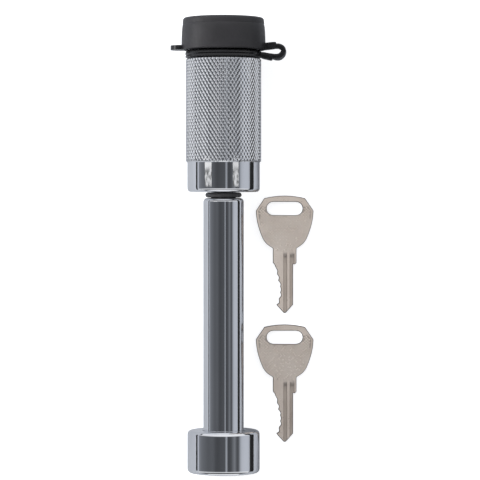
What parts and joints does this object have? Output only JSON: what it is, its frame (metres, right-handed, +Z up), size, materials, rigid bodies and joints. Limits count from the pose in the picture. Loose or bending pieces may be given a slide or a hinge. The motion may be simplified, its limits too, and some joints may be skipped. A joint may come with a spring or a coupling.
{
  "type": "hitch pin lock",
  "caption": "Chromed receiver pin lock: plain pin with a stop collar, knurled keyed head that pulls off, tethered rubber keyway cap, and two flat keys lying beside it.",
  "frame": {"origin": "on the surface the lock and its keys lie on, under the middle of the whole set", "axes": "+Y along the pin, from the stop collar to the rubber cap; +X from the lock towards the keys; +Z up from the surface. The pin rises by 0.82 degrees towards the cap, because the cap is wider than the collar"},
  "size_m": [0.0566, 0.179, 0.0331],
  "materials": {
    "chrome": "polished chrome plate",
    "seal_rubber": "smooth black rubber",
    "cap_rubber": "satin moulded black rubber",
    "zinc": "die-cast zinc",
    "steel": "machined steel",
    "spring_steel": "drawn spring steel",
    "brass": "machined brass",
    "key_metal": "nickel-plated key blank, stamped texture on the bow"
  },
  "bodies": {
    "pin": {"shank": "chrome", "stop_collar": "chrome"},
    "seal": {"seal_ring": "seal_rubber"},
    "head": {"head_shell": "chrome", "latch_carrier": "zinc", "cylinder_body": "zinc", "retaining_pin": "spring_steel"},
    "plug": {"plug": "brass", "plug_clip": "spring_steel", "cam_disc": "steel", "cam_screw": "steel", "wafer_spring_1": "spring_steel", "wafer_spring_2": "spring_steel", "wafer_spring_3": "spring_steel", "wafer_spring_4": "spring_steel", "wafer_spring_5": "spring_steel"},
    "jaw_right": {"latch_jaw_right": "steel"},
    "jaw_left": {"latch_jaw_left": "steel"},
    "wafer_1": {"wafer_1": "brass"},
    "wafer_2": {"wafer_2": "brass"},
    "wafer_3": {"wafer_3": "brass"},
    "wafer_4": {"wafer_4": "brass"},
    "wafer_5": {"wafer_5": "brass"},
    "tether": {"strap_ring": "cap_rubber", "cap_strap": "cap_rubber"},
    "cap": {"keyway_cap": "cap_rubber"},
    "key_1": {"key_1": "key_metal"},
    "key_2": {"key_2": "key_metal"}
  },
  "joints": [
    {"name": "head_spin", "type": "hinge", "parent": "pin", "child": "seal", "pos_m": [-0.0075, 0.02098, 0.01575], "axis": [0, 0.9999, 0.0143], "continuous": true},
    {"name": "head_slide", "type": "slide", "parent": "seal", "child": "head", "axis": [0, 0.9999, 0.0143], "range_m": [0, 0.03]},
    {"name": "plug_turn", "type": "hinge", "parent": "head", "child": "plug", "pos_m": [-0.0075, 0.08378, 0.01665], "axis": [0, 0.9999, 0.0143], "range_deg": [0, 90]},
    {"name": "jaw_right_slide", "type": "slide", "parent": "head", "child": "jaw_right", "axis": [-1, 0, 0], "range_m": [0, 0.0015]},
    {"name": "jaw_left_slide", "type": "slide", "parent": "head", "child": "jaw_left", "axis": [1, 0, 0], "range_m": [0, 0.0015]},
    {"name": "wafer_1_slide", "type": "slide", "parent": "plug", "child": "wafer_1", "axis": [1, 0, 0], "range_m": [0, 0.0008], "deforming": ["wafer_spring_1"]},
    {"name": "wafer_2_slide", "type": "slide", "parent": "plug", "child": "wafer_2", "axis": [-1, 0, 0], "range_m": [0, 0.0008], "deforming": ["wafer_spring_2"]},
    {"name": "wafer_3_slide", "type": "slide", "parent": "plug", "child": "wafer_3", "axis": [1, 0, 0], "range_m": [0, 0.0008], "deforming": ["wafer_spring_3"]},
    {"name": "wafer_4_slide", "type": "slide", "parent": "plug", "child": "wafer_4", "axis": [-1, 0, 0], "range_m": [0, 0.0008], "deforming": ["wafer_spring_4"]},
    {"name": "wafer_5_slide", "type": "slide", "parent": "plug", "child": "wafer_5", "axis": [1, 0, 0], "range_m": [0, 0.0008], "deforming": ["wafer_spring_5"]},
    {"name": "tether_turn", "type": "hinge", "parent": "head", "child": "tether", "pos_m": [-0.0075, 0.07658, 0.01654], "axis": [0, 0.9999, 0.0143], "continuous": true},
    {"name": "cap_slide", "type": "slide", "parent": "tether", "child": "cap", "axis": [0, 0.9999, 0.0143], "range_m": [0, 0.0075], "deforming": ["cap_strap"]},
    {"name": "key_1_lift", "type": "slide", "parent": "pin", "child": "key_1", "axis": [0, 0, 1], "range_m": [0, 0.05]},
    {"name": "key_2_lift", "type": "slide", "parent": "pin", "child": "key_2", "axis": [0, 0, 1], "range_m": [0, 0.05]}
  ],
  "couplings": [
    {"joint": "jaw_right_slide", "follows": "plug_turn", "m_per_rad": 0.000954},
    {"joint": "jaw_left_slide", "follows": "plug_turn", "m_per_rad": 0.000954}
  ]
}
